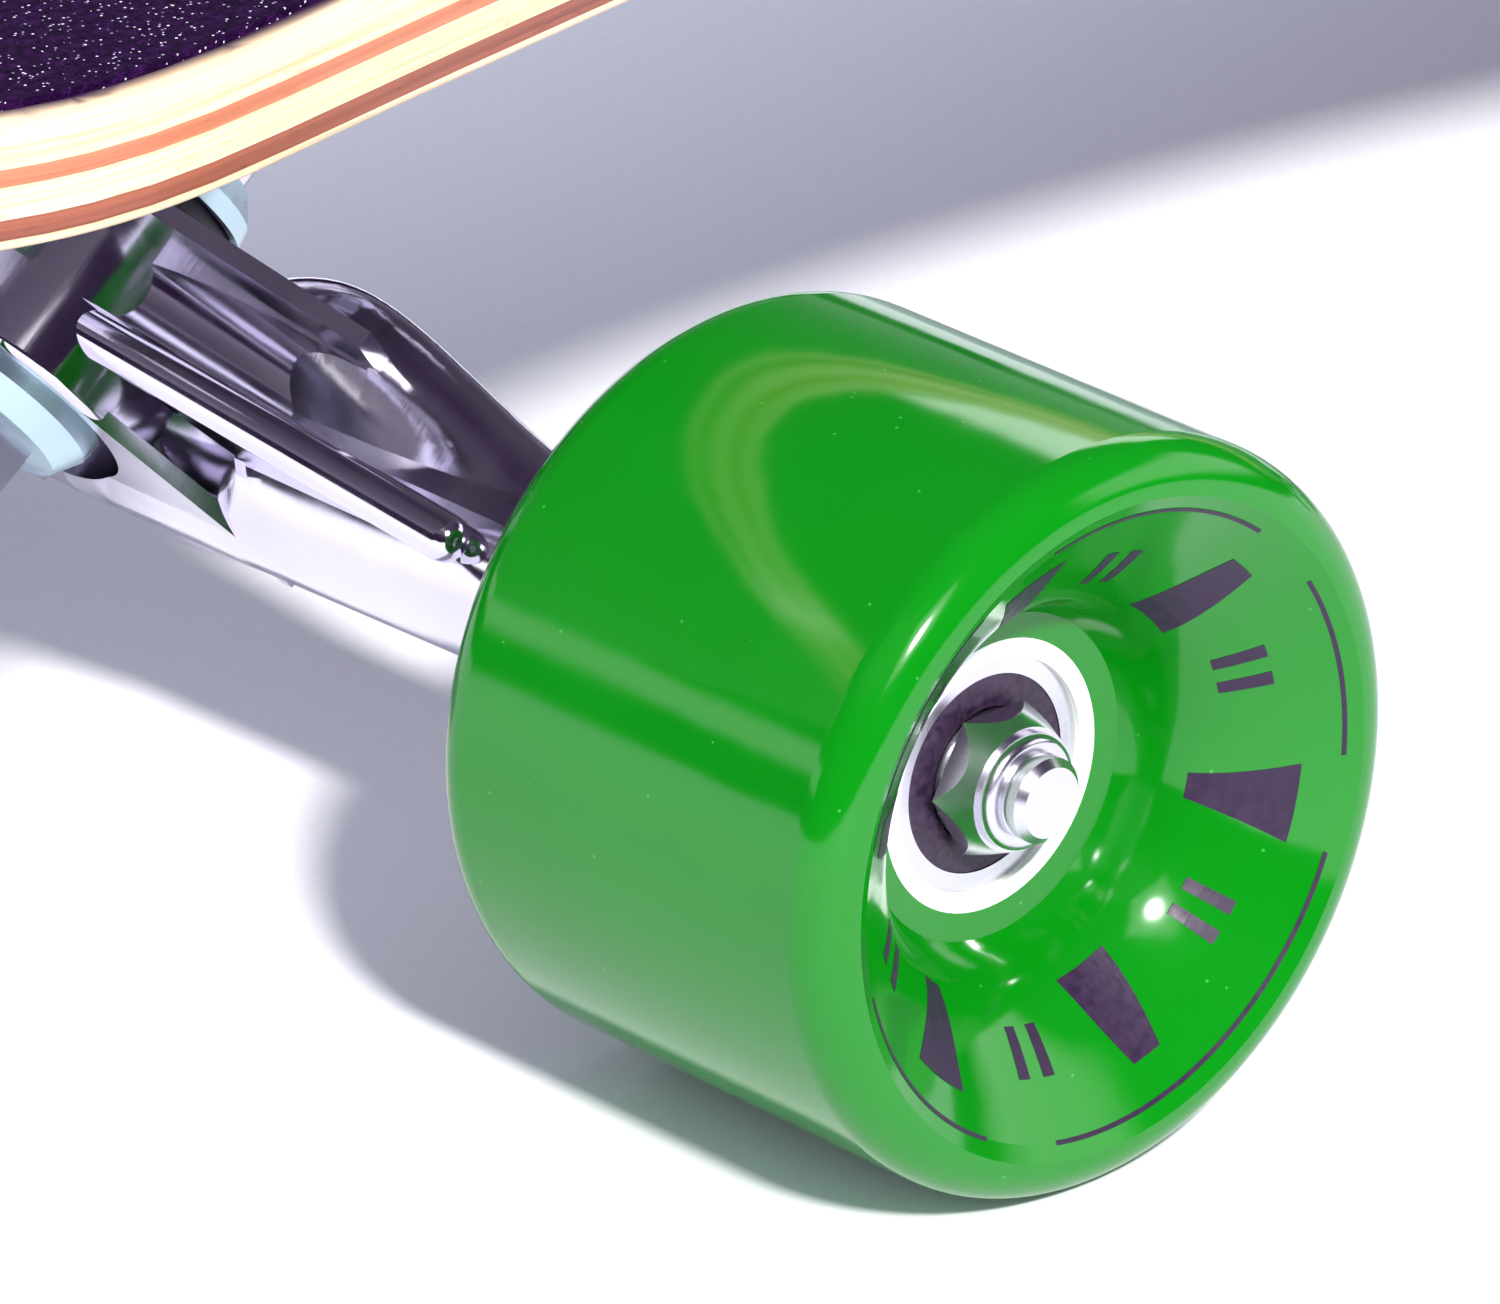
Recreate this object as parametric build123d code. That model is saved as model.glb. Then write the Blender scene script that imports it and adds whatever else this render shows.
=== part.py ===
from build123d import *
import os
from math import cos, exp, radians, sin

# Drop-through longboard skateboard.  Millimetres, +Z up, +X towards the front end of the
# deck, origin on the ground below the middle of the board.
os.makedirs("parts", exist_ok=True)

# ---------------------------------------------------------------- driving dimensions
DECK_LENGTH = 1041.0
DECK_WIDTH = 248.0
DECK_UNDERSIDE_Z = 93.0
PLIES = (1.43, 1.43, 1.43, 1.60, 1.48, 1.48, 1.85, 1.10)   # top ply first
TOP_ROUND = 2.4
BOTTOM_ROUND = 0.9
GRIP_THICKNESS = 0.8
GRIP_SEAM_X = 352.0             # the middle sheet of grip tape ends just short of the truck flanges
GRIP_SEAM_GAP = 0.6
WHEELBASE = 790.0

WHEEL_RADIUS = 35.0
WHEEL_WIDTH = 51.0
TREAD_ROUND = 4.5
TRACK_HALF = 106.0              # wheel centre plane from the middle of the truck
CORE_RADIUS = 12.7
CORE_OUTER_FACE = 9.7           # from the wheel's centre plane, outwards
CORE_INNER_FACE = -15.4

BEARING_OUTER_RADIUS = 11.0
BEARING_BORE_RADIUS = 4.0
BEARING_WIDTH = 7.0
BEARING_OUTER_FACE = 9.0
BEARING_INNER_FACE = -15.0
INNER_RING_RADIUS = 6.05
OUTER_RING_INSIDE = 9.25
BALL_RADIUS = 1.984
BALL_PITCH_RADIUS = 7.5
BALL_COUNT = 7
RACE_RADIUS = 2.05
CAGE_HALF_HEIGHT = 2.4
CAGE_SHEET = 0.35

AXLE_RADIUS = 3.97
AXLE_HALF_LENGTH = 123.4
HANGER_HALF_WIDTH = 90.0
SPEED_WASHER = 1.0
AXLE_NUT_AF = 12.7
AXLE_NUT_HEX = 3.6
AXLE_NUT_LENGTH = 5.0
AXLE_THREAD_PITCH = 1.06

STEER_ANGLE = 50.0              # steering axis above the horizontal
RING_CENTRE = (9.5, 0.0, 15.0)  # from the axle, outwards and up
RING_RADIUS = 17.5
RING_FRONT, RING_BACK = -6.0, 6.6
WAIST_RADIUS = 13.7             # the ring is narrower between its front and rear flanges
WAIST_FRONT = -3.9
SEAT_RADIUS = 12.0
SEAT_DEPTH = 3.0
RING_HOLE_RADIUS = 8.0
BUSHING_RADIUS = 11.6
BUSHING_LENGTH = 11.0
CUP_RADIUS = 12.3
CUP_PLATE = 1.6
CUP_LIP = 3.0
KINGPIN_RADIUS = 4.76
KINGPIN_NUT_AF = 14.3
KINGPIN_HEAD_W = 42.0
KINGPIN_END_W = -28.0
PIVOT_RADIUS = 5.5
PIVOT_TIP_U = 41.0
PIVOT_CUP_U = (31.0, 45.0)
PIVOT_CUP_WALL = 2.2
TILT_CLEARANCE_RADIUS = 15.5    # room for the cup washers when the hanger tilts
RIB_W = -5.5                    # front rib of the hanger, along the kingpin
RIB_RADIUS = 2.3
TROUGH_RADIUS = 4.5
LIP_W = -12.0
# Rear wing of the hanger: place across the board and height above the beam.
WING_STATIONS = ((6, 5.5), (18, 7.6), (27, 9.3), (34, 8.3), (42, 6.0), (50, 3.4), (58, 1.2), (66, 0.1))
WING_ANGLE = 50.0
WING_SPREAD = 26.0
WING_BASE_RADIUS = 9.3

FLANGE_LENGTH = 84.0
FLANGE_WIDTH = 60.0
FLANGE_THICKNESS = 5.0
FLANGE_CENTRE_X = 9.5
BOLT_SPACING_X = 63.5
BOLT_SPACING_X_SPARE = 44.46    # spare holes, 53.98 from the outer pair opposite
BOLT_SPACING_Y = 41.28
BOLT_RADIUS = 2.4
BOLT_HOLE_RADIUS = 2.75
BODY_X = (-26.0, 45.0)          # cast body of the baseplate, from the axle
BODY_WIDTH = 27.0
CUTOUT_GAP = 0.8

# ---------------------------------------------------------------- worked out from them
DECK_THICKNESS = sum(PLIES)
DECK_TOP_Z = DECK_UNDERSIDE_Z + DECK_THICKNESS
GRIP_TOP_Z = DECK_TOP_Z + GRIP_THICKNESS
AXLE_X = WHEELBASE / 2
TIP_X = DECK_LENGTH / 2
S_DIR = Vector(cos(radians(STEER_ANGLE)), 0, sin(radians(STEER_ANGLE)))
K_DIR = Vector(-sin(radians(STEER_ANGLE)), 0, cos(radians(STEER_ANGLE)))
# Ring frame: x (u) along the steering axis, y across the board, z (w) along the kingpin to its head.
RING_PLANE = Plane(origin=RING_CENTRE, x_dir=S_DIR, z_dir=K_DIR)
AXLE_U = -Vector(*RING_CENTRE).dot(S_DIR)
AXLE_W = -Vector(*RING_CENTRE).dot(K_DIR)
BACK_BUSHING_W = RING_BACK - SEAT_DEPTH
FRONT_BUSHING_W = RING_FRONT + SEAT_DEPTH
SEAT_W = BACK_BUSHING_W + BUSHING_LENGTH + CUP_PLATE
NUT_W = FRONT_BUSHING_W - BUSHING_LENGTH - CUP_PLATE

nodes = {}


def in_ring(shape):
    """Move a shape from the ring frame to the truck frame (origin at the axle's middle)."""
    return RING_PLANE.location * shape


def tube(outer, inner, start, end):
    """A tube along +Z between two heights."""
    middle = (start + end) / 2
    return Pos(0, 0, middle) * (Cylinder(outer, end - start) - Cylinder(inner, end - start + 1))


def rod(radius, start, end):
    """A round bar along +Z between two heights."""
    return Pos(0, 0, (start + end) / 2) * Cylinder(radius, end - start)


def hex_bar(across_flats, start, end):
    """A hexagonal bar along +Z."""
    outline = RegularPolygon(across_flats / 2, 6, major_radius=False)
    return Pos(0, 0, start) * extrude(outline, end - start)


def thread_grooves(radius, start, end, pitch, depth):
    """V-shaped grooves round a bar, one per thread."""
    grooves = []
    count = int((end - start) / pitch)
    for i in range(count):
        z = start + (i + 0.5) * pitch
        profile = Polyline(
            (radius - depth, 0, z), (radius + 0.5, 0, z - pitch * 0.45),
            (radius + 0.5, 0, z + pitch * 0.45), close=True)
        grooves.append(revolve(make_face(profile), Axis.Z))
    return grooves


def only_solid(shape):
    """The one solid of a boolean result."""
    return shape.solids().sort_by(SortBy.VOLUME)[-1]


# ---------------------------------------------------------------- deck
def deck_outline():
    """Plan of the deck: paddle ends, necks beside the wheels and a wide middle."""
    half = DECK_WIDTH / 2
    quarter = [
        (TIP_X, 0.0), (AXLE_X + 117, 31.0), (AXLE_X + 98, 59.0), (AXLE_X + 70, 75.4), (AXLE_X + 38, 73.4),
        (AXLE_X + 1, 67.6), (AXLE_X - 33, 62.9), (AXLE_X - 66, 61.4), (AXLE_X - 102, 63.5),
        (AXLE_X - 145, 69.5), (AXLE_X - 205, 84.5), (AXLE_X - 300, 110.0), (0.0, half)]
    upper = quarter + [(-x, y) for x, y in reversed(quarter[:-1])]
    loop = upper + [(x, -y) for x, y in reversed(upper[1:-1])]
    return make_face(Spline(*loop, periodic=True))


def truck_places():
    """Locations that put a truck-frame shape at the front and at the rear."""
    front = Location((AXLE_X, 0, WHEEL_RADIUS))
    rear = Location((-AXLE_X, 0, WHEEL_RADIUS), (0, 0, 180))
    return {"front": front, "rear": rear}


def bolt_points(spacing_x):
    """The four truck-frame corners of a bolt rectangle."""
    return [(FLANGE_CENTRE_X + sx * spacing_x / 2, sy * BOLT_SPACING_Y / 2)
            for sx in (-1, 1) for sy in (-1, 1)]


def deck_openings(height):
    """Cutouts and bolt holes of both trucks, as tall cutters."""
    cutters = []
    middle = (BODY_X[0] + BODY_X[1]) / 2
    length = BODY_X[1] - BODY_X[0] + 2 * CUTOUT_GAP
    width = BODY_WIDTH + 2 * CUTOUT_GAP
    slot = extrude(RectangleRounded(length, width, 4), height)
    for place in truck_places().values():
        cutters.append(place * Pos(middle, 0, 0) * slot)
        for x, y in bolt_points(BOLT_SPACING_X):
            cutters.append(place * Pos(x, y, 0) * rod(BOLT_HOLE_RADIUS, 0, height))
    return cutters


def make_deck():
    blank = Pos(0, 0, DECK_UNDERSIDE_Z) * extrude(deck_outline(), DECK_THICKNESS)
    blank = fillet(blank.faces().sort_by(Axis.Z)[-1].edges(), TOP_ROUND)
    blank = fillet(blank.faces().sort_by(Axis.Z)[0].edges(), BOTTOM_ROUND)
    grip = extrude(blank.faces().sort_by(Axis.Z)[-1], GRIP_THICKNESS)
    middle_sheet = Pos(0, 0, DECK_TOP_Z) * Box(2 * GRIP_SEAM_X, DECK_WIDTH + 10, 10)
    nodes["grip_tape_middle"] = only_solid(grip & middle_sheet)
    seam = Pos(0, 0, DECK_TOP_Z) * Box(2 * GRIP_SEAM_X + GRIP_SEAM_GAP, DECK_WIDTH + 10, 10)
    ends = grip - deck_openings(150) - seam
    nodes["grip_tape_ends"] = Compound(ends.solids())
    blank = blank - deck_openings(150)
    top = DECK_TOP_Z
    for number, thickness in enumerate(PLIES, 1):
        layer = Pos(0, 0, top - thickness / 2) * Box(DECK_LENGTH + 10, DECK_WIDTH + 10, thickness)
        nodes[f"deck_ply_{number}"] = blank & layer
        top -= thickness


def make_deck_hardware():
    head_z = GRIP_TOP_Z + FLANGE_THICKNESS
    dome = fillet(rod(4.8, head_z, head_z + 2.6).edges().sort_by(Axis.Z)[-1], 1.8)
    recess = Pos(0, 0, head_z + 2.0) * (Box(5.0, 1.1, 2.4) + Box(1.1, 5.0, 2.4))
    shank = rod(BOLT_RADIUS, DECK_UNDERSIDE_Z - 7.5, head_z)
    bolt = (dome + shank) - recess
    nut_bottom = DECK_UNDERSIDE_Z - 5.6
    nut = hex_bar(9.5, nut_bottom + 1.6, DECK_UNDERSIDE_Z) + rod(4.2, nut_bottom, nut_bottom + 2)
    nut = nut - rod(BOLT_RADIUS, nut_bottom - 1, DECK_UNDERSIDE_Z + 1)
    bolts, nuts = [], []
    for place in truck_places().values():
        flat = Location((place.position.X, place.position.Y, 0), tuple(place.orientation))
        for x, y in bolt_points(BOLT_SPACING_X):
            bolts.append(flat * Pos(x, y, 0) * bolt)
            nuts.append(flat * Pos(x, y, 0) * nut)
    nodes["deck_bolts"] = Compound(bolts)
    nodes["deck_bolt_nuts"] = Compound(nuts)


# ---------------------------------------------------------------- truck: fixed side
def baseplate():
    """Flange on top of the deck, body through the cutout, kingpin boss and pivot housing."""
    flange_low = GRIP_TOP_Z - WHEEL_RADIUS
    body_low = DECK_UNDERSIDE_Z - WHEEL_RADIUS - 16
    flange = Pos(FLANGE_CENTRE_X, 0, flange_low) * extrude(
        RectangleRounded(FLANGE_LENGTH, FLANGE_WIDTH, 9), FLANGE_THICKNESS)
    flange = fillet(flange.faces().sort_by(Axis.Z)[-1].edges(), 1.2)
    middle = (BODY_X[0] + BODY_X[1]) / 2
    body = Pos(middle, 0, body_low) * extrude(
        RectangleRounded(BODY_X[1] - BODY_X[0], BODY_WIDTH, 3), flange_low - body_low + 0.5)
    boss = in_ring(rod(9.6, SEAT_W, KINGPIN_HEAD_W))
    housing = in_ring(Rot(0, 90, 0) * rod(PIVOT_RADIUS + PIVOT_CUP_WALL + 3.2, *PIVOT_CUP_U))
    housing_cap = in_ring(Rot(0, 90, 0) * rod(8.5, PIVOT_CUP_U[1] - 1, PIVOT_CUP_U[1] + 3))
    ribs = []
    for side in (-1, 1):
        outline = Polyline(
            (BODY_X[0] + 3, 0, body_low + 1), (-8, 0, 33), (3, 0, 34), (10, 0, body_low + 1), close=True)
        ribs.append(Pos(0, side * 7 - 2, 0) * extrude(make_face(outline), -4))
    plate = flange + body + boss + housing + housing_cap + ribs
    plate -= in_ring(rod(KINGPIN_RADIUS + 0.04, SEAT_W - 5, 80))
    plate -= in_ring(hex_bar(KINGPIN_NUT_AF + 0.4, KINGPIN_HEAD_W - 6, 90))
    plate -= in_ring(Rot(0, 90, 0) * rod(PIVOT_RADIUS + PIVOT_CUP_WALL, PIVOT_CUP_U[0] - 8, PIVOT_CUP_U[1] - 1))
    for spacing in (BOLT_SPACING_X, BOLT_SPACING_X_SPARE):
        for x, y in bolt_points(spacing):
            plate -= Pos(x, y, flange_low + 2) * Cylinder(BOLT_HOLE_RADIUS, 30)
    return only_solid(plate)


def pivot_cup():
    """Plastic cup that lines the pivot housing."""
    low, high = PIVOT_CUP_U[0] - 0.6, PIVOT_CUP_U[1] - 1
    cup = rod(PIVOT_RADIUS + PIVOT_CUP_WALL, low, high)
    bore = rod(PIVOT_RADIUS + 0.05, low - 5, PIVOT_TIP_U - PIVOT_RADIUS)
    end = Pos(0, 0, PIVOT_TIP_U - PIVOT_RADIUS) * Sphere(PIVOT_RADIUS + 0.05)
    return only_solid(in_ring(Rot(0, 90, 0) * (cup - bore - end)))


def kingpin():
    head = hex_bar(KINGPIN_NUT_AF, KINGPIN_HEAD_W - 6, KINGPIN_HEAD_W)
    shank = rod(KINGPIN_RADIUS, KINGPIN_END_W, KINGPIN_HEAD_W - 6)
    shank = chamfer(shank.edges().sort_by(Axis.Z)[0], 0.8)
    pin = head + shank - thread_grooves(KINGPIN_RADIUS, KINGPIN_END_W + 1, NUT_W - 6.6, 1.06, 0.5)
    return only_solid(in_ring(pin))


def kingpin_nut():
    low = NUT_W - 8.2
    nut = hex_bar(KINGPIN_NUT_AF, low + 2.4, NUT_W) & Pos(0, 0, NUT_W - 3) * Cone(7.2, 9.0, 12)
    collar = fillet(rod(6.5, low, low + 3).edges().sort_by(Axis.Z)[0], 1.0)
    return only_solid(in_ring(nut + collar - rod(KINGPIN_RADIUS, low - 1, NUT_W + 1)))


def bushing(start, end):
    """Barrel-shaped urethane bushing."""
    ends = BUSHING_RADIUS - 0.7
    side = ThreePointArc((ends, 0, start), (BUSHING_RADIUS, 0, (start + end) / 2), (ends, 0, end))
    inner = KINGPIN_RADIUS + 0.3
    loop = Polyline((ends, 0, end), (inner, 0, end), (inner, 0, start), (ends, 0, start))
    return only_solid(in_ring(revolve(make_face(Curve() + [side, loop]), Axis.Z)))


def cup_washer(plate_w, way):
    """Cup washer whose lip points along +w or -w from its plate."""
    lip = plate_w + way * CUP_LIP
    back = plate_w - way * CUP_PLATE
    profile = Polyline(
        (KINGPIN_RADIUS + 0.1, 0, back), (CUP_RADIUS - 1.7, 0, back), (CUP_RADIUS, 0, plate_w + way * 1.0),
        (CUP_RADIUS + 0.3, 0, lip), (CUP_RADIUS - 0.6, 0, lip), (CUP_RADIUS - 0.9, 0, plate_w),
        (KINGPIN_RADIUS + 0.1, 0, plate_w), close=True)
    return only_solid(in_ring(revolve(make_face(profile), Axis.Z)))


# ---------------------------------------------------------------- truck: hanger side
def plate_between(points, low, high):
    """A plate in the ring frame from a half outline (u, v), mirrored across the board."""
    half = points + [(u, -v) for u, v in reversed(points) if v > 0]
    return Pos(0, 0, low) * extrude(make_face(Polyline(*half, close=True)), high - low)


def both_sides(shape):
    return [shape, mirror(shape, Plane.XZ)]


def prism_side(points, low, high):
    """A prism in the ring frame on the +v side, with its mirror image."""
    prism = Pos(0, 0, low) * extrude(make_face(Polyline(*points, close=True)), high - low)
    return both_sides(prism)


def bar_between(start, end, radius):
    """A round bar with ball ends between two points."""
    start, end = Vector(*start), Vector(*end)
    along = Plane(origin=start, z_dir=end - start)
    bar = along.location * rod(radius, 0, (end - start).length)
    return bar + Pos(*start) * Sphere(radius) + Pos(*end) * Sphere(radius)


def wing_section(v, height):
    """Cross-section of the axle beam with a rounded ridge on its rear upper side."""
    points = []
    for i in range(20):
        angle = i * 18
        away = (angle - WING_ANGLE + 180) % 360 - 180
        reach = WING_BASE_RADIUS + height * exp(-(away / WING_SPREAD) ** 2)
        points.append((AXLE_U + reach * cos(radians(angle)), v, AXLE_W + reach * sin(radians(angle))))
    return make_face(Spline(*points, periodic=True))


def hanger():
    ring = rod(RING_RADIUS, LIP_W, RING_BACK)
    ring = fillet(ring.edges().filter_by(GeomType.CIRCLE), 0.9)
    ring -= tube(RING_RADIUS + 2, WAIST_RADIUS, WAIST_FRONT, RING_BACK - 1.3)
    core_block = plate_between([(6, 0), (5, 9), (-7.6, 41), (-17, 43), (-18, 0)], RING_FRONT, RING_BACK)
    rear_wall = plate_between(
        [(15.5, 0), (14.9, 9), (13.3, 16), (-0.5, 38), (-9.0, 36), (-17, 30), (-18, 0)],
        RING_BACK - 1.3, RING_BACK + 0.5)
    front_web = plate_between(
        [(8.0, 0), (7.8, 10.5), (-7.0, 54.5), (-14.5, 60), (-17.6, 60), (-18, 0)], RIB_W - 1.5, RIB_W + 1.5)
    rib = bar_between((6.9, 13.0, RIB_W), (-7.0, 54.5, RIB_W - 0.4), RIB_RADIUS)
    groove = bar_between((9.0, 10.5, 0.6), (-10.0, 40.5, 0.6), TROUGH_RADIUS)
    open_top = Pos(0, 0, 0.6 - TROUGH_RADIUS) * extrude(make_face(Polyline(
        (9.0, 10.5), (-10.0, 40.5), (-10.0, 60), (30, 60), (30, 10), (20, 4), close=True)), 2 * TROUGH_RADIUS)
    trough = both_sides(groove + open_top)
    beam = both_sides(Pos(AXLE_U, 44, AXLE_W) * Rot(-90, 0, 0) * Cone(10.6, 9.2, 88))
    collar = both_sides(Pos(AXLE_U, 87, AXLE_W) * Rot(-90, 0, 0) * Cylinder(8.2, 6))
    wing = both_sides(loft([wing_section(*station) for station in WING_STATIONS]))
    lip = prism_side([(12.2, 12.5), (5.3, 15.2), (-15.3, 25.8), (-21, 24), (-24, 10), (-10, 4), (8, 4)],
                     LIP_W, LIP_W + 1.7)
    lip_fill = prism_side([(5, 9), (-3, 12), (-16, 19), (-24, 18), (-24, 8), (-10, 4)], LIP_W + 1.6, RING_FRONT + 1)
    end_wall = both_sides(Pos(0, 27.3, 0) * extrude(Plane.XZ * make_face(Polyline(
        (-7.6, -7.0), (-15.3, LIP_W), (-22, LIP_W), (-22, -5), (-7.6, -5), close=True)), 1.5))
    pocket = prism_side([(7.6, 12.4), (-7.6, 27.2), (-14.0, 24.6), (-12.0, 13.0)], LIP_W, RIB_W + 1.0)
    neck = Rot(0, 90, 0) * Pos(0, 0, 19.5) * Cone(9.5, 6.4, 13)
    pin = Rot(0, 90, 0) * rod(PIVOT_RADIUS, 20, PIVOT_TIP_U - PIVOT_RADIUS)
    tip = Pos(PIVOT_TIP_U - PIVOT_RADIUS, 0, 0) * Sphere(PIVOT_RADIUS)
    body = core_block + rear_wall + front_web
    for cutter in trough + pocket:
        body -= cutter
    body += [ring, *both_sides(rib), *beam, *collar, *wing, *lip, *lip_fill, *end_wall, neck, pin, tip]
    body -= rod(SEAT_RADIUS, RING_BACK - SEAT_DEPTH, RING_BACK + 12)
    body -= rod(SEAT_RADIUS, RING_FRONT - 2, RING_FRONT + SEAT_DEPTH)
    body -= rod(TILT_CLEARANCE_RADIUS, LIP_W - 6, RING_FRONT - 1)
    body -= rod(TILT_CLEARANCE_RADIUS, RING_BACK + 0.6, RING_BACK + 12)
    body -= rod(RING_HOLE_RADIUS, -20, 20)
    body -= Pos(AXLE_U, 0, AXLE_W) * Rot(90, 0, 0) * Cylinder(AXLE_RADIUS, 200)
    return only_solid(in_ring(body))


def along_axle(shape, side):
    """Stand a shape that was made along +Z on one end of the axle (side is +1 or -1)."""
    return Rot(-90 * side, 0, 0) * shape


def axle():
    bar = rod(AXLE_RADIUS, -AXLE_HALF_LENGTH, AXLE_HALF_LENGTH)
    bar = chamfer(bar.edges().filter_by(GeomType.CIRCLE), 0.7)
    nut_end = TRACK_HALF + BEARING_OUTER_FACE + SPEED_WASHER + AXLE_NUT_LENGTH
    start = nut_end - AXLE_THREAD_PITCH
    grooves = thread_grooves(AXLE_RADIUS, start, AXLE_HALF_LENGTH - 0.6, AXLE_THREAD_PITCH, 0.45)
    bar = bar - grooves - [mirror(g, Plane.XY) for g in grooves]
    return only_solid(along_axle(bar, 1))


def axle_nut(side):
    low = TRACK_HALF + BEARING_OUTER_FACE + SPEED_WASHER
    high = low + AXLE_NUT_LENGTH
    flats = hex_bar(AXLE_NUT_AF, low, low + AXLE_NUT_HEX)
    flats = flats & Pos(0, 0, low + 1) * Cone(8.6, 5.2, 8)
    collar = fillet(rod(5.4, low, high).edges().sort_by(Axis.Z)[-1], 0.9)
    nut = flats + collar - rod(AXLE_RADIUS, low - 1, high + 1)
    return along_axle(only_solid(nut), side)


def wheel_tube(outer, inner, start, end, side):
    """A tube round the axle, given by distances from the wheel's centre plane, outwards."""
    return along_axle(tube(outer, inner, TRACK_HALF + start, TRACK_HALF + end), side)


def bearing_starts():
    """Inner-side face of each bearing, from the wheel's centre plane."""
    return (BEARING_OUTER_FACE - BEARING_WIDTH, BEARING_INNER_FACE)


def race(start):
    return Pos(0, 0, start + BEARING_WIDTH / 2) * Torus(BALL_PITCH_RADIUS, RACE_RADIUS)


def inner_ring(start, side):
    ring = tube(INNER_RING_RADIUS, BEARING_BORE_RADIUS, start, start + BEARING_WIDTH) - race(start)
    return along_axle(Pos(0, 0, TRACK_HALF) * only_solid(ring), side)


def outer_ring(start, side):
    ring = tube(BEARING_OUTER_RADIUS, OUTER_RING_INSIDE, start, start + BEARING_WIDTH) - race(start)
    return along_axle(Pos(0, 0, TRACK_HALF) * only_solid(ring), side)


def balls_and_cage(start, side):
    """Seven balls and their riveted cage, as separate solids."""
    middle = start + BEARING_WIDTH / 2
    low, high = middle - CAGE_HALF_HEIGHT, middle + CAGE_HALF_HEIGHT
    half_width = 0.7
    outer, inner = BALL_PITCH_RADIUS + half_width, BALL_PITCH_RADIUS - half_width
    step = 360 / BALL_COUNT
    cage = tube(outer, inner, low, low + CAGE_SHEET) + tube(outer, inner, high - CAGE_SHEET, high)
    cage += [Rot(0, 0, (i + 0.5) * step) * Pos(BALL_PITCH_RADIUS, 0, 0) * rod(0.5, low, high)
             for i in range(BALL_COUNT)]
    balls = [Rot(0, 0, i * step) * Pos(BALL_PITCH_RADIUS, 0, middle) * Sphere(BALL_RADIUS)
             for i in range(BALL_COUNT)]
    pieces = [only_solid(cage)] + [ball.solid() for ball in balls]
    return [along_axle(Pos(0, 0, TRACK_HALF) * piece, side) for piece in pieces]


# ---------------------------------------------------------------- wheels
def tyre(side):
    """Poured urethane: round lips, a dished outer face and a shallower inner one."""
    half = WHEEL_WIDTH / 2
    r, lip = WHEEL_RADIUS, TREAD_ROUND
    k = lip * (1 - cos(radians(45)))
    outline = [
        Line((r, 0, -half + lip), (r, 0, half - lip)),
        ThreePointArc((r, 0, half - lip), (r - k, 0, half - k), (r - lip, 0, half)),
        Line((r - lip, 0, half), (29.0, 0, half - 0.9)),
        Spline((29.0, 0, half - 0.9), (24.0, 0, half - 4.6), (17.6, 0, half - 11.2), (16.4, 0, half - 13.6),
               (15.2, 0, half - 15.4)),
        Line((15.2, 0, half - 15.4), (CORE_RADIUS, 0, CORE_OUTER_FACE)),
        Line((CORE_RADIUS, 0, CORE_OUTER_FACE), (CORE_RADIUS, 0, CORE_INNER_FACE)),
        Line((CORE_RADIUS, 0, CORE_INNER_FACE), (17.0, 0, CORE_INNER_FACE - 0.6)),
        Line((17.0, 0, CORE_INNER_FACE - 0.6), (27.0, 0, -half + 1.2)),
        Line((27.0, 0, -half + 1.2), (r - lip, 0, -half)),
        ThreePointArc((r - lip, 0, -half), (r - k, 0, -half + k), (r, 0, -half + lip))]
    solid = revolve(make_face(Curve() + outline), Axis.Z)
    return along_axle(Pos(0, 0, TRACK_HALF) * only_solid(solid), side)


def core(side):
    """Hard plastic hub with a bearing seat at each end and a stop ring between them."""
    shell = tube(CORE_RADIUS, BEARING_OUTER_RADIUS, CORE_INNER_FACE, CORE_OUTER_FACE)
    stop = tube(BEARING_OUTER_RADIUS + 0.5, 8.6, BEARING_INNER_FACE + BEARING_WIDTH,
                BEARING_OUTER_FACE - BEARING_WIDTH)
    return along_axle(Pos(0, 0, TRACK_HALF) * only_solid(shell + stop), side)


def make_truck(end, place):
    fixed = {
        "baseplate": baseplate(), "pivot_cup": pivot_cup(), "kingpin": kingpin(), "kingpin_nut": kingpin_nut(),
        "boardside_bushing": bushing(BACK_BUSHING_W, BACK_BUSHING_W + BUSHING_LENGTH),
        "roadside_bushing": bushing(FRONT_BUSHING_W - BUSHING_LENGTH, FRONT_BUSHING_W),
        "boardside_washer": cup_washer(BACK_BUSHING_W + BUSHING_LENGTH, -1),
        "roadside_washer": cup_washer(FRONT_BUSHING_W - BUSHING_LENGTH, 1)}
    washers, rings, spacers, nuts = [], [], [], []
    for side in (1, -1):
        nuts.append(axle_nut(side))
        washers.append(wheel_tube(5.6, AXLE_RADIUS, BEARING_OUTER_FACE, BEARING_OUTER_FACE + SPEED_WASHER, side))
        washers.append(wheel_tube(5.6, AXLE_RADIUS, BEARING_INNER_FACE - SPEED_WASHER, BEARING_INNER_FACE, side))
        rings += [inner_ring(start, side) for start in bearing_starts()]
        spacers.append(wheel_tube(5.3, BEARING_BORE_RADIUS, BEARING_INNER_FACE + BEARING_WIDTH,
                                  BEARING_OUTER_FACE - BEARING_WIDTH, side))
    moving = {"hanger": hanger(), "axle": axle(), "axle_nuts": Compound(nuts), "speed_washers": Compound(washers),
              "bearing_inner_rings": Compound(rings), "bearing_spacers": Compound(spacers)}
    for name, shape in {**fixed, **moving}.items():
        nodes[f"{end}_{name}"] = place * shape


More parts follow.
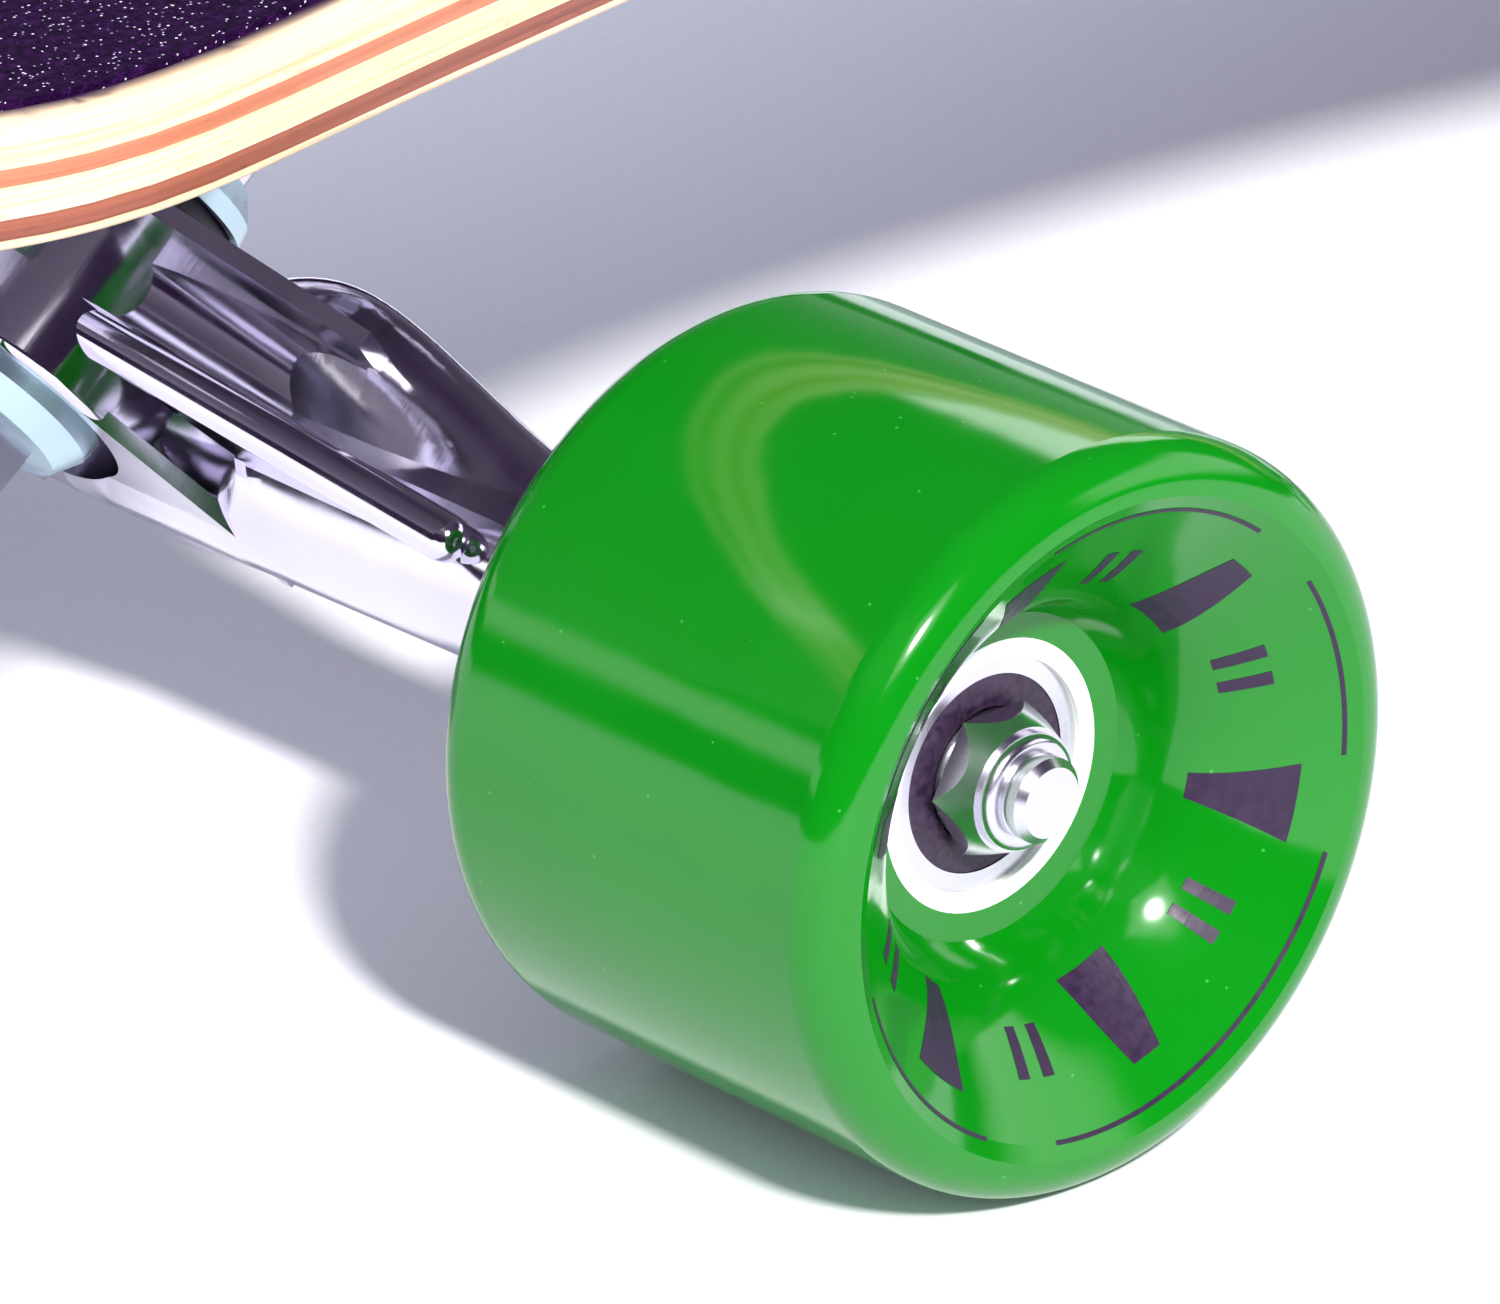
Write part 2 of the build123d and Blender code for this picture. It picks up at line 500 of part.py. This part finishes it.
def make_wheel(name, place, side):
    shields = [wheel_tube(9.2, 6.2, BEARING_OUTER_FACE - 0.5, BEARING_OUTER_FACE - 0.15, side),
               wheel_tube(9.2, 6.2, BEARING_INNER_FACE + 0.15, BEARING_INNER_FACE + 0.5, side)]
    pieces = {
        "tyre": tyre(side), "core": core(side), "bearing_shields": Compound(shields),
        "bearing_outer_rings": Compound([outer_ring(start, side) for start in bearing_starts()]),
        "balls": Compound([piece for start in bearing_starts() for piece in balls_and_cage(start, side)])}
    for piece, shape in pieces.items():
        nodes[f"{name}_{piece}"] = place * shape


make_deck()
make_deck_hardware()
for end_name, location in truck_places().items():
    make_truck(end_name, location)
    for left in (True, False):
        turned = 1 if end_name == "front" else -1
        side_name = "left" if left else "right"
        make_wheel(f"{end_name}_{side_name}_wheel", location, turned if left else -turned)

for node, solid in nodes.items():
    export_step(solid, f"parts/{node}.step")
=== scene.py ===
from math import cos, pi, radians, sin

import bmesh
import bpy
import numpy as np
from mathutils import Matrix, Vector


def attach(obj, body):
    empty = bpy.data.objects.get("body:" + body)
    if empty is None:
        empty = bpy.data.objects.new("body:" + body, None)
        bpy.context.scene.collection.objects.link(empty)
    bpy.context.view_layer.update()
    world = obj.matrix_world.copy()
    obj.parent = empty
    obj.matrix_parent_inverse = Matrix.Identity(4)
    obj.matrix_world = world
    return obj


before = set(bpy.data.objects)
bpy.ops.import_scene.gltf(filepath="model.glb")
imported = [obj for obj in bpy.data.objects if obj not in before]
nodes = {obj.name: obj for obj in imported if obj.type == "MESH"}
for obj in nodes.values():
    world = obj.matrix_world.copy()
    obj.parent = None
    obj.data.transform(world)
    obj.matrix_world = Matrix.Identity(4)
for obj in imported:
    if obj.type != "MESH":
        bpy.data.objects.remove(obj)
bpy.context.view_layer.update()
scene = bpy.context.scene

MM = 0.001
AXLE_X = 0.395
AXLE_Z = 0.035
WHEELS = {
    "front_left_wheel": (AXLE_X, 1), "front_right_wheel": (AXLE_X, -1),
    "rear_left_wheel": (-AXLE_X, 1), "rear_right_wheel": (-AXLE_X, -1),
}


# ---------------------------------------------------------------- shader helpers
class Shader:
    """Builds one node tree: each call adds a node and returns its first output."""

    def __init__(self, tree):
        self.tree = tree
        tree.nodes.clear()

    def add(self, kind, settings=None, **inputs):
        node = self.tree.nodes.new("ShaderNode" + kind)
        for key, value in (settings or {}).items():
            setattr(node, key, value)
        for key, value in inputs.items():
            self.put(node.inputs[key.replace("_", " ")], value)
        return node

    def put(self, socket, value):
        if isinstance(value, bpy.types.NodeSocket):
            self.tree.links.new(value, socket)
        elif isinstance(value, tuple) and len(value) == 3 and socket.type == "RGBA":
            socket.default_value = (*value, 1.0)
        else:
            socket.default_value = value

    def math(self, operation, a, b=0.0, c=0.0, clamp=False):
        node = self.add("Math", {"operation": operation, "use_clamp": clamp})
        for socket, value in zip(node.inputs, (a, b, c)):
            self.put(socket, value)
        return node.outputs[0]

    def mix(self, factor, a, b):
        node = self.add("Mix", {"data_type": "RGBA"})
        self.put(node.inputs["Factor"], factor)
        self.put(node.inputs[6], a)
        self.put(node.inputs[7], b)
        return node.outputs[2]

    def scaled(self, x, y, z):
        """Object coordinates times a factor along each axis."""
        node = self.add("Mapping", Vector=self.add("TexCoord").outputs["Object"])
        node.inputs["Scale"].default_value = (x, y, z)
        return node.outputs[0]

    def noise(self, vector, scale, detail=3.0, rough=0.55):
        node = self.add("TexNoise", Vector=vector, Scale=scale, Detail=detail, Roughness=rough)
        return node.outputs[0]

    def steps(self, value, *stops):
        """A float ramp through (position, value) pairs."""
        ramp = self.add("ValToRGB", Fac=value)
        elements = ramp.color_ramp.elements
        while len(elements) > 1:
            elements.remove(elements[-1])
        for i, (position, level) in enumerate(stops):
            e = elements[0] if i == 0 else elements.new(position)
            e.position = position
            e.color = (*level, 1.0) if isinstance(level, tuple) else (level, level, level, 1.0)
        return ramp.outputs[0]

    def bump(self, height, distance, strength=1.0):
        return self.add("Bump", Height=height, Distance=distance, Strength=strength).outputs[0]

    def surface(self, **inputs):
        shader = self.add("BsdfPrincipled", **inputs)
        out = self.add("OutputMaterial")
        self.tree.links.new(shader.outputs[0], out.inputs["Surface"])


def material(name):
    made = bpy.data.materials.new(name)
    made.use_nodes = True
    return made, Shader(made.node_tree)


# ---------------------------------------------------------------- materials
def grip_material():
    made, s = material("grip")
    place = s.scaled(1, 1, 1)
    grit = s.add("TexVoronoi", Vector=place, Scale=3000.0)
    chance = s.add("SeparateColor", Color=grit.outputs["Color"])
    lone = s.math("GREATER_THAN", chance.outputs[0], 0.90)
    core_of_grain = s.math("LESS_THAN", grit.outputs["Distance"], 0.40)
    # Lone grains picked for sparkle: partly the grit flakes' own pale colour, partly a painted glint
    fleck_and_painted_glint_mask = s.math("MULTIPLY", lone, core_of_grain)
    haze = s.steps(s.noise(place, 900.0, 4), (0.45, 0.0), (0.72, 1.0))
    base = s.mix(haze, (0.011, 0.001, 0.022), (0.036, 0.005, 0.060))
    # Near-white colour of those grains: painted glint laid over the flakes' own paler tone
    fleck_and_painted_glint_colour = s.mix(chance.outputs[1], (0.22, 0.17, 0.30), (0.95, 0.92, 1.0))
    colour = s.mix(fleck_and_painted_glint_mask, base, fleck_and_painted_glint_colour)
    rough = s.mix(fleck_and_painted_glint_mask, (0.62, 0.62, 0.62), (0.22, 0.22, 0.22))
    relief = s.math("SUBTRACT", 1.0, grit.outputs["Distance"])
    s.surface(Base_Color=colour, Roughness=rough, Specular_IOR_Level=0.04, Normal=s.bump(relief, 0.00030, 0.9))
    return made


def ply_material(name, pale, deep):
    """Veneer: fine lines along the ply on its cut edge, dark stained long grain on its face."""
    made, s = material(name)
    edge = s.noise(s.scaled(16, 16, 1500), 1.0, 6, 0.7)
    pores = s.noise(s.scaled(260, 260, 1400), 1.0, 3, 0.6)
    face = s.noise(s.scaled(7, 330, 40), 1.0, 7, 0.65)
    rings = s.noise(s.scaled(2.2, 46, 10), 1.0, 2, 0.4)
    upright = s.math("ABSOLUTE", s.add("SeparateXYZ", Vector=s.add("NewGeometry").outputs["Normal"]).outputs[2])
    flat = s.steps(upright, (0.86, 0.0), (0.97, 1.0))
    grain = s.mix(flat, edge, s.mix(0.45, face, rings))
    tone = s.steps(grain, (0.34, 0.0), (0.66, 1.0))
    colour = s.mix(tone, pale, deep)
    pits = s.steps(pores, (0.60, 0.0), (0.80, 0.55))
    colour = s.mix(pits, colour, tuple(c * 0.55 for c in deep))
    stain = s.mix(grain, (0.020, 0.006, 0.028), (0.050, 0.022, 0.060))
    colour = s.mix(flat, colour, stain)
    s.surface(Base_Color=colour, Roughness=s.steps(pores, (0.3, 0.34), (0.7, 0.5)),
              Normal=s.bump(grain, 0.00005, 0.5), Coat_Weight=0.25, Coat_Roughness=0.25)
    return made


def urethane_material():
    made, s = material("urethane")
    place = s.scaled(1, 1, 1)
    cloud = s.noise(place, 45.0, 3)
    cells = s.add("TexVoronoi", Vector=place, Scale=1500.0)
    pick = s.add("SeparateColor", Color=cells.outputs["Color"]).outputs[0]
    speck = s.math("LESS_THAN", cells.outputs["Distance"], 0.24)
    fleck = s.math("MULTIPLY", s.math("GREATER_THAN", pick, 0.992), speck)
    base = s.mix(cloud, (0.0012, 0.170, 0.0035), (0.0018, 0.205, 0.0050))
    colour = s.mix(s.math("MULTIPLY", fleck, 0.30), base, (0.10, 0.60, 0.12))
    wave = s.noise(place, 60.0, 2)
    s.surface(Base_Color=colour, Roughness=s.steps(cloud, (0.3, 0.075), (0.7, 0.13)),
              Normal=s.bump(wave, 0.00025, 0.35), IOR=1.5)
    return made


def plastic_material(name, low, high, rough, scale=300.0):
    made, s = material(name)
    grain = s.noise(s.scaled(1, 1, 1), scale, 4)
    s.surface(Base_Color=s.mix(s.steps(grain, (0.35, 0.0), (0.65, 1.0)), low, high),
              Roughness=s.steps(grain, (0.3, rough * 0.85), (0.7, rough * 1.2)),
              Normal=s.bump(grain, 0.00004, 0.5))
    return made


def metal_material(name, low, high, rough, streaks=None, strength=0.35, metallic=1.0):
    """Plated or polished metal with cloudy patches and fine brushed lines across the part."""
    made, s = material(name)
    patches = s.noise(s.scaled(1, 1, 1), 70.0, 3)
    lines = s.noise(s.scaled(*(streaks or (300, 300, 300))), 1.0, 5, 0.7)
    worn = s.steps(patches, (0.40, 0.0), (0.68, 1.0))
    level = s.mix(worn, (rough * 0.7,) * 3, (rough * 1.7,) * 3)
    height = s.math("MULTIPLY", lines, s.math("ADD", s.math("MULTIPLY", worn, 0.8), 0.2))
    s.surface(Base_Color=s.mix(patches, low, high), Metallic=metallic, Roughness=level,
              Normal=s.bump(height, 0.00006, strength))
    return made


finishes = {
    "grip": grip_material(),
    "ply_maple": ply_material("ply_maple", (0.82, 0.70, 0.50), (0.70, 0.44, 0.22)),
    "ply_red": ply_material("ply_red", (0.60, 0.22, 0.11), (0.46, 0.125, 0.058)),
    "ply_brown": ply_material("ply_brown", (0.33, 0.088, 0.042), (0.17, 0.036, 0.022)),
    "urethane": urethane_material(),
    "core_plastic": plastic_material("core_plastic", (0.80, 0.84, 0.76), (0.90, 0.92, 0.88), 0.30, 120.0),
    "shield_black": plastic_material("shield_black", (0.014, 0.005, 0.020), (0.045, 0.020, 0.055), 0.42, 1500.0),
    "bearing_steel": metal_material("bearing_steel", (0.62, 0.60, 0.66), (0.78, 0.77, 0.82), 0.20, (900, 60, 900)),
    "zinc_steel": metal_material("zinc_steel", (0.56, 0.53, 0.62), (0.78, 0.77, 0.84), 0.18, (500, 500, 500)),
    "blue_zinc": metal_material("blue_zinc", (0.50, 0.70, 0.80), (0.74, 0.92, 0.97), 0.30, (300, 300, 300),
                                0.2, 0.75),
    "bushing_black": plastic_material("bushing_black", (0.016, 0.008, 0.022), (0.050, 0.034, 0.062), 0.45),
    "cup_plastic": plastic_material("cup_plastic", (0.020, 0.012, 0.026), (0.055, 0.045, 0.065), 0.5),
    "polished_cast": metal_material("polished_cast", (0.66, 0.62, 0.74), (0.86, 0.84, 0.93), 0.13, (60, 1700, 60)),
}
for name, node in nodes.items():
    slot = node.data.materials[0].name.split(".")[0]
    node.data.materials.clear()
    node.data.materials.append(finishes[slot])


# ---------------------------------------------------------------- printed marks on the wheels
INK_BELOW = 0.00018             # thickness of a mark under and over the urethane's surface
INK_ABOVE = 0.00007
FACE_LOWEST = 0.1162            # the printed face, from the middle of the board outwards
FACE_RADIUS = 0.0312            # and from the axle
RING_RADIUS = 29.0 * MM
RING_HALF_LINE = 0.17 * MM
RING_ARCS = ((14, 58), (76, 128), (146, 184), (202, 282), (300, 346))
ARC_STEPS_PER_DEGREE = 1.2
BLOCK_COUNT = 6


def face_profile(tyre, centre_x, side):
    """Radius from the axle and distance from the board's middle of the outer face, read from the CAD mesh."""
    co = np.array([v.co for v in nodes[tyre].data.vertices], float)
    radius = np.hypot(co[:, 0] - centre_x, co[:, 2] - AXLE_Z)
    height = co[:, 1] * side
    outer = (height > FACE_LOWEST) & (radius < FACE_RADIUS)
    order = np.argsort(radius[outer])
    return radius[outer][order], height[outer][order]


def ink_patch(bm, at, outline):
    """A thin printed patch: outline is a grid of (radius, angle) rows, laid on the face by at()."""
    rows = len(outline)
    layers = []
    for lift in (INK_ABOVE, -INK_BELOW):
        layers.append([[bm.verts.new(at(r, a, lift)) for r, a in row] for row in outline])
    top, low = layers
    for i in range(rows - 1):
        for j in range(len(outline[0]) - 1):
            bm.faces.new((top[i][j], top[i][j + 1], top[i + 1][j + 1], top[i + 1][j]))
            bm.faces.new((low[i][j], low[i + 1][j], low[i + 1][j + 1], low[i][j + 1]))
    last = len(outline[0]) - 1
    rim = [(i, 0) for i in range(rows)] + [(rows - 1, j) for j in range(1, last + 1)]
    rim += [(i, last) for i in range(rows - 2, -1, -1)] + [(0, j) for j in range(last - 1, 0, -1)]
    for a, b in zip(rim, rim[1:] + rim[:1]):
        bm.faces.new((top[a[0]][a[1]], low[a[0]][a[1]], low[b[0]][b[1]], top[b[0]][b[1]]))


def bar_grid(radii, left, right, columns=9):
    """Grid between two edges, each given as one angle in degrees per radius."""
    grid = []
    for r, a0, a1 in zip(radii, left, right):
        grid.append([(r * MM, radians(a0 + (a1 - a0) * j / (columns - 1))) for j in range(columns)])
    return grid


def ring_arcs():
    """The thin broken ring near the rim."""
    grids = []
    for start, end in RING_ARCS:
        count = int((end - start) * ARC_STEPS_PER_DEGREE)
        turns = [radians(start + (end - start) * j / count) for j in range(count + 1)]
        rows = []
        for half in (-RING_HALF_LINE, RING_HALF_LINE):
            rows.append([(RING_RADIUS + half, turn) for turn in turns])
        grids.append(rows)
    return grids


def mark_grids():
    """Generic blocks round the cone: bars, wedges and pairs of short dashes."""
    grids = []
    radii = np.linspace(18.6, 26.0, 7)
    for i in range(BLOCK_COUNT):
        middle = 360.0 / BLOCK_COUNT * i + 14.0
        if i % 2 == 0:
            wide = [9.0 - 0.9 * k for k in range(7)]
        else:
            wide = [3.6 + 0.75 * k for k in range(7)]
        grids.append(bar_grid(radii, [middle - w for w in wide], [middle + w for w in wide]))
    short = np.linspace(20.4, 24.2, 4)
    for i in range(BLOCK_COUNT):
        middle = 360.0 / BLOCK_COUNT * i + 42.0
        for shift in (-3.6, 3.6):
            grids.append(bar_grid(short, [middle + shift - 1.6] * 4, [middle + shift + 1.6] * 4, 5))
    return grids


def print_on_wheel(body, centre_x, side, ink):
    radii, heights = face_profile(body + "_tyre", centre_x, side)
    slope = np.gradient(heights, radii + np.arange(len(radii)) * 1e-9)
    turned = 1 if centre_x > 0 else -1
    spin = radians(0 if side > 0 else 180)

    def at(radius, angle, lift):
        height = float(np.interp(radius, radii, heights))
        tilt = float(np.interp(radius, radii, slope))
        length = (1 + tilt * tilt) ** 0.5
        r = radius - lift * tilt / length
        h = height + lift / length
        turn = angle * side * turned + spin
        return (centre_x + r * cos(turn), h * side, AXLE_Z + r * sin(turn))

    for label, grids in (("ring", ring_arcs()), ("marks", mark_grids())):
        bm = bmesh.new()
        for grid in grids:
            ink_patch(bm, at, grid)
        bmesh.ops.recalc_face_normals(bm, faces=bm.faces)
        mesh = bpy.data.meshes.new(f"{body}_printed_{label}")
        bm.to_mesh(mesh)
        bm.free()
        mesh.materials.append(ink)
        piece = bpy.data.objects.new(mesh.name, mesh)
        scene.collection.objects.link(piece)
        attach(piece, body)


ink = plastic_material("ink", (0.014, 0.002, 0.026), (0.022, 0.004, 0.036), 0.45, 900.0)
for wheel, (wheel_x, wheel_side) in WHEELS.items():
    print_on_wheel(wheel, wheel_x, wheel_side, ink)


# ---------------------------------------------------------------- floor, lights and camera
FLOOR_HALF_SIZE = 20.0


def floor_material():
    made, s = material("floor")
    paper = s.noise(s.scaled(1, 1, 1), 700.0, 4)
    s.surface(Base_Color=s.mix(paper, (0.86, 0.86, 0.87), (0.92, 0.92, 0.93)), Roughness=0.75,
              Normal=s.bump(paper, 0.00008, 0.25))
    return made


def make_floor():
    bm = bmesh.new()
    bmesh.ops.create_grid(bm, x_segments=8, y_segments=8, size=FLOOR_HALF_SIZE)
    mesh = bpy.data.meshes.new("floor")
    bm.to_mesh(mesh)
    bm.free()
    mesh.materials.append(floor_material())
    floor = bpy.data.objects.new("floor", mesh)
    scene.collection.objects.link(floor)


KEY_DIRECTION = Vector((0.505, 1.05, 1.0))
KEY_ENERGY = 4.6
KEY_ANGLE = radians(5.0)


def make_key_light():
    lamp = bpy.data.lights.new("key", "SUN")
    lamp.energy = KEY_ENERGY
    lamp.angle = KEY_ANGLE
    lamp.color = (1.0, 0.99, 0.98)
    key = bpy.data.objects.new("key", lamp)
    key.rotation_mode = "QUATERNION"
    key.rotation_quaternion = KEY_DIRECTION.to_track_quat("Z", "Y")
    scene.collection.objects.link(key)


def make_world():
    """Soft lavender fill; reflections see a dark studio with a few soft boxes."""
    world = bpy.data.worlds.new("studio")
    scene.world = world
    world.use_nodes = True
    s = Shader(world.node_tree)
    way = s.add("TexCoord").outputs["Generated"]
    x, y, z = s.add("SeparateXYZ", Vector=way).outputs
    elevation = s.math("MULTIPLY", s.math("ARCSINE", z), 180 / pi)
    azimuth = s.math("MULTIPLY", s.math("ARCTAN2", y, x), 180 / pi)

    def patch(az, el, half_az, half_el, soft, level):
        """A soft-edged box of light centred on one direction, in degrees."""
        turn = s.math("WRAP", s.math("SUBTRACT", azimuth, az), 180.0, -180.0)
        sides = []
        for offset, half in ((turn, half_az), (s.math("SUBTRACT", elevation, el), half_el)):
            inside = s.math("SUBTRACT", half, s.math("ABSOLUTE", offset))
            sides.append(s.math("DIVIDE", inside, soft, clamp=True))
        return s.math("MULTIPLY", s.math("MULTIPLY", *sides), level)

    boxes = [(-128, 25, 30, 7, 2.5, 3.2), (-45, 13, 25, 4, 2.0, 1.6), (-50, 27, 16, 7, 4.0, 0.5),
             (64, 42, 16, 12, 3.0, 2.0), (150, 20, 26, 14, 6.0, 1.8), (10, 50, 40, 16, 8.0, 0.2)]
    total = 0.0
    for box in boxes:
        total = s.math("ADD", total, patch(*box))
    room = s.mix(s.math("DIVIDE", elevation, 90.0, clamp=True), (0.014, 0.004, 0.022), (0.10, 0.07, 0.14))
    lit = s.add("VectorMath", {"operation": "ADD"})
    s.put(lit.inputs[0], room)
    s.put(lit.inputs[1], s.mix(1.0, (0, 0, 0), total))
    rays = s.add("LightPath")
    fill = s.mix(rays.outputs["Is Glossy Ray"], (0.78, 0.80, 1.00), lit.outputs[0])
    seen = s.mix(rays.outputs["Is Camera Ray"], fill, (0.90, 0.90, 0.93))
    background = s.add("Background", Color=seen, Strength=1.0)
    out = s.add("OutputWorld")
    s.tree.links.new(background.outputs[0], out.inputs["Surface"])


CAMERA_PLACE = Vector((1.0578, 0.7997, 0.4788))
CAMERA_RIGHT = Vector((-0.7333, 0.6799, 0.0)).normalized()
CAMERA_BACK = Vector((0.6191, 0.6679, 0.4131)).normalized()


def make_camera():
    data = bpy.data.cameras.new("camera")
    data.lens = 288.0
    data.sensor_width = 36.0
    data.clip_start, data.clip_end = 0.05, 100.0
    camera = bpy.data.objects.new("camera", data)
    up = CAMERA_BACK.cross(CAMERA_RIGHT).normalized()
    turned = Matrix((CAMERA_RIGHT, up, CAMERA_BACK)).transposed().to_4x4()
    camera.matrix_world = Matrix.Translation(CAMERA_PLACE) @ turned
    scene.collection.objects.link(camera)
    scene.camera = camera


make_floor()
make_key_light()
make_world()
make_camera()
scene.view_settings.view_transform = "Standard"
